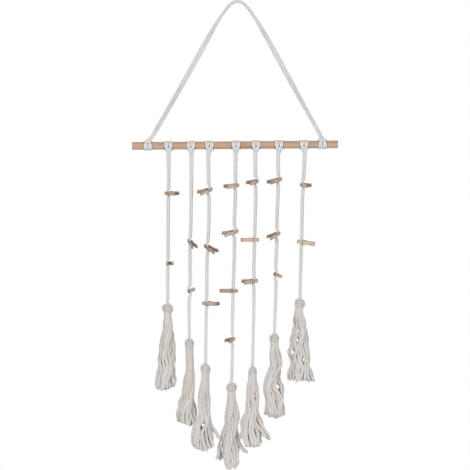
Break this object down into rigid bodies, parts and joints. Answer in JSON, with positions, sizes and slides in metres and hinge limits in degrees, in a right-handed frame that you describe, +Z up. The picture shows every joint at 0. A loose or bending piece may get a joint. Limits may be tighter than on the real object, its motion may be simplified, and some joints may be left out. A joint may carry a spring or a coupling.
{
  "type": "macrame photo display with dowel, hanging cord and clips",
  "caption": "Wall hanging for small prints: cotton strings tied over a wooden dowel, each with spring clips and ending in a knotted tassel, on a cord that loops over a hook.",
  "frame": {"origin": "underside of the hanging cord at its highest point, where a hook carries it", "axes": "+Z up along the strings, +X along the dowel to the right as seen from the front, the front faces -Y"},
  "size_m": [0.4, 0.0536, 0.9116],
  "materials": {
    "dowel_wood": "plain sanded pale wood",
    "clip_wood": "plain sawn pale wood",
    "cotton_cord": "matt twisted cotton cord, off white",
    "cotton_strand": "matt loose cotton strands, off white",
    "spring_steel": "dull spring wire"
  },
  "bodies": {
    "hanging": {"dowel": "dowel_wood", "hanger": "cotton_cord", "string_1": "cotton_cord", "string_2": "cotton_cord", "string_3": "cotton_cord", "string_4": "cotton_cord", "string_5": "cotton_cord", "string_6": "cotton_cord", "string_7": "cotton_cord", "tassel_1": "cotton_strand", "tassel_2": "cotton_strand", "tassel_3": "cotton_strand", "tassel_4": "cotton_strand", "tassel_5": "cotton_strand", "tassel_6": "cotton_strand", "tassel_7": "cotton_strand", "clip_01_back": "clip_wood", "clip_02_back": "clip_wood", "clip_03_back": "clip_wood", "clip_04_back": "clip_wood", "clip_05_back": "clip_wood", "clip_06_back": "clip_wood", "clip_07_back": "clip_wood", "clip_08_back": "clip_wood", "clip_09_back": "clip_wood", "clip_10_back": "clip_wood", "clip_11_back": "clip_wood", "clip_12_back": "clip_wood", "clip_13_back": "clip_wood", "clip_14_back": "clip_wood", "clip_15_back": "clip_wood", "clip_16_back": "clip_wood", "clip_17_back": "clip_wood", "clip_18_back": "clip_wood", "clip_19_back": "clip_wood"},
    "jaw_01": {"clip_01_front": "clip_wood"},
    "jaw_02": {"clip_02_front": "clip_wood"},
    "jaw_03": {"clip_03_front": "clip_wood"},
    "jaw_04": {"clip_04_front": "clip_wood"},
    "jaw_05": {"clip_05_front": "clip_wood"},
    "jaw_06": {"clip_06_front": "clip_wood"},
    "jaw_07": {"clip_07_front": "clip_wood"},
    "jaw_08": {"clip_08_front": "clip_wood"},
    "jaw_09": {"clip_09_front": "clip_wood"},
    "jaw_10": {"clip_10_front": "clip_wood"},
    "jaw_11": {"clip_11_front": "clip_wood"},
    "jaw_12": {"clip_12_front": "clip_wood"},
    "jaw_13": {"clip_13_front": "clip_wood"},
    "jaw_14": {"clip_14_front": "clip_wood"},
    "jaw_15": {"clip_15_front": "clip_wood"},
    "jaw_16": {"clip_16_front": "clip_wood"},
    "jaw_17": {"clip_17_front": "clip_wood"},
    "jaw_18": {"clip_18_front": "clip_wood"},
    "jaw_19": {"clip_19_front": "clip_wood"}
  },
  "joints": [
    {"name": "clip_01_open", "type": "hinge", "parent": "hanging", "child": "jaw_01", "pos_m": [-0.12737, -0.00654, -0.36991], "axis": [-0.0803, -0.1188, 0.9897], "range_deg": [0, 16], "stiffness_Nm_per_rad": 0.06, "springref_deg": -34.38},
    {"name": "clip_02_open", "type": "hinge", "parent": "hanging", "child": "jaw_02", "pos_m": [-0.13194, -0.00857, -0.50565], "axis": [-0.081, -0.0365, 0.996], "range_deg": [0, 16], "stiffness_Nm_per_rad": 0.06, "springref_deg": -34.38},
    {"name": "clip_03_open", "type": "hinge", "parent": "hanging", "child": "jaw_03", "pos_m": [-0.08762, -0.00751, -0.4677], "axis": [-0.0482, -0.4185, 0.9069], "range_deg": [0, 16], "stiffness_Nm_per_rad": 0.06, "springref_deg": -34.38},
    {"name": "clip_04_open", "type": "hinge", "parent": "hanging", "child": "jaw_04", "pos_m": [-0.09014, 0.00865, -0.55904], "axis": [-0.4399, 0.0298, 0.8976], "range_deg": [0, 16], "stiffness_Nm_per_rad": 0.06, "springref_deg": -34.38},
    {"name": "clip_05_open", "type": "hinge", "parent": "hanging", "child": "jaw_05", "pos_m": [-0.06104, -0.00582, -0.36543], "axis": [-0.1878, 0.5086, -0.8403], "range_deg": [0, 16], "stiffness_Nm_per_rad": 0.06, "springref_deg": -34.38},
    {"name": "clip_06_open", "type": "hinge", "parent": "hanging", "child": "jaw_06", "pos_m": [-0.05124, -0.00601, -0.47715], "axis": [-0.1009, -0.5345, 0.8391], "range_deg": [0, 16], "stiffness_Nm_per_rad": 0.06, "springref_deg": -34.38},
    {"name": "clip_07_open", "type": "hinge", "parent": "hanging", "child": "jaw_07", "pos_m": [-0.05124, -0.0044, -0.58375], "axis": [-0.0372, -0.0992, 0.9944], "range_deg": [0, 16], "stiffness_Nm_per_rad": 0.06, "springref_deg": -34.38},
    {"name": "clip_08_open", "type": "hinge", "parent": "hanging", "child": "jaw_08", "pos_m": [-0.00953, -0.00608, -0.35552], "axis": [-0.0951, 0.2445, -0.965], "range_deg": [0, 16], "stiffness_Nm_per_rad": 0.06, "springref_deg": -34.38},
    {"name": "clip_09_open", "type": "hinge", "parent": "hanging", "child": "jaw_09", "pos_m": [-0.01192, -0.00508, -0.44618], "axis": [-0.1806, 0.5238, -0.8325], "range_deg": [0, 16], "stiffness_Nm_per_rad": 0.06, "springref_deg": -34.38},
    {"name": "clip_10_open", "type": "hinge", "parent": "hanging", "child": "jaw_10", "pos_m": [-0.01588, -0.00061, -0.5591], "axis": [-0.0049, 0.0696, -0.9976], "range_deg": [0, 16], "stiffness_Nm_per_rad": 0.06, "springref_deg": -34.38},
    {"name": "clip_11_open", "type": "hinge", "parent": "hanging", "child": "jaw_11", "pos_m": [-0.01217, -0.00814, -0.65391], "axis": [-0.1672, 0.1411, -0.9758], "range_deg": [0, 16], "stiffness_Nm_per_rad": 0.06, "springref_deg": -34.38},
    {"name": "clip_12_open", "type": "hinge", "parent": "hanging", "child": "jaw_12", "pos_m": [0.03137, -0.00737, -0.34798], "axis": [-0.1832, 0.2899, -0.9393], "range_deg": [0, 16], "stiffness_Nm_per_rad": 0.06, "springref_deg": -34.38},
    {"name": "clip_13_open", "type": "hinge", "parent": "hanging", "child": "jaw_13", "pos_m": [0.02552, -0.00153, -0.46015], "axis": [0.002, 0.0889, -0.996], "range_deg": [0, 16], "stiffness_Nm_per_rad": 0.06, "springref_deg": -34.38},
    {"name": "clip_14_open", "type": "hinge", "parent": "hanging", "child": "jaw_14", "pos_m": [0.0259, -0.00528, -0.54071], "axis": [-0.1939, 0.3632, -0.9113], "range_deg": [0, 16], "stiffness_Nm_per_rad": 0.06, "springref_deg": -34.38},
    {"name": "clip_15_open", "type": "hinge", "parent": "hanging", "child": "jaw_15", "pos_m": [0.07397, -0.00596, -0.34518], "axis": [-0.011, 0.3256, -0.9454], "range_deg": [0, 16], "stiffness_Nm_per_rad": 0.06, "springref_deg": -34.38},
    {"name": "clip_16_open", "type": "hinge", "parent": "hanging", "child": "jaw_16", "pos_m": [0.07221, -0.00657, -0.45123], "axis": [-0.2117, 0.4846, -0.8487], "range_deg": [0, 16], "stiffness_Nm_per_rad": 0.06, "springref_deg": -34.38},
    {"name": "clip_17_open", "type": "hinge", "parent": "hanging", "child": "jaw_17", "pos_m": [0.07816, 0.00837, -0.52832], "axis": [0.3866, -0.0168, 0.9221], "range_deg": [0, 16], "stiffness_Nm_per_rad": 0.06, "springref_deg": -34.38},
    {"name": "clip_18_open", "type": "hinge", "parent": "hanging", "child": "jaw_18", "pos_m": [0.13195, -0.00795, -0.35417], "axis": [-0.1524, -0.1651, 0.9744], "range_deg": [0, 16], "stiffness_Nm_per_rad": 0.06, "springref_deg": -34.38},
    {"name": "clip_19_open", "type": "hinge", "parent": "hanging", "child": "jaw_19", "pos_m": [0.13402, -0.00061, -0.46568], "axis": [0.1416, -0.184, 0.9727], "range_deg": [0, 16], "stiffness_Nm_per_rad": 0.06, "springref_deg": -34.38}
  ]
}
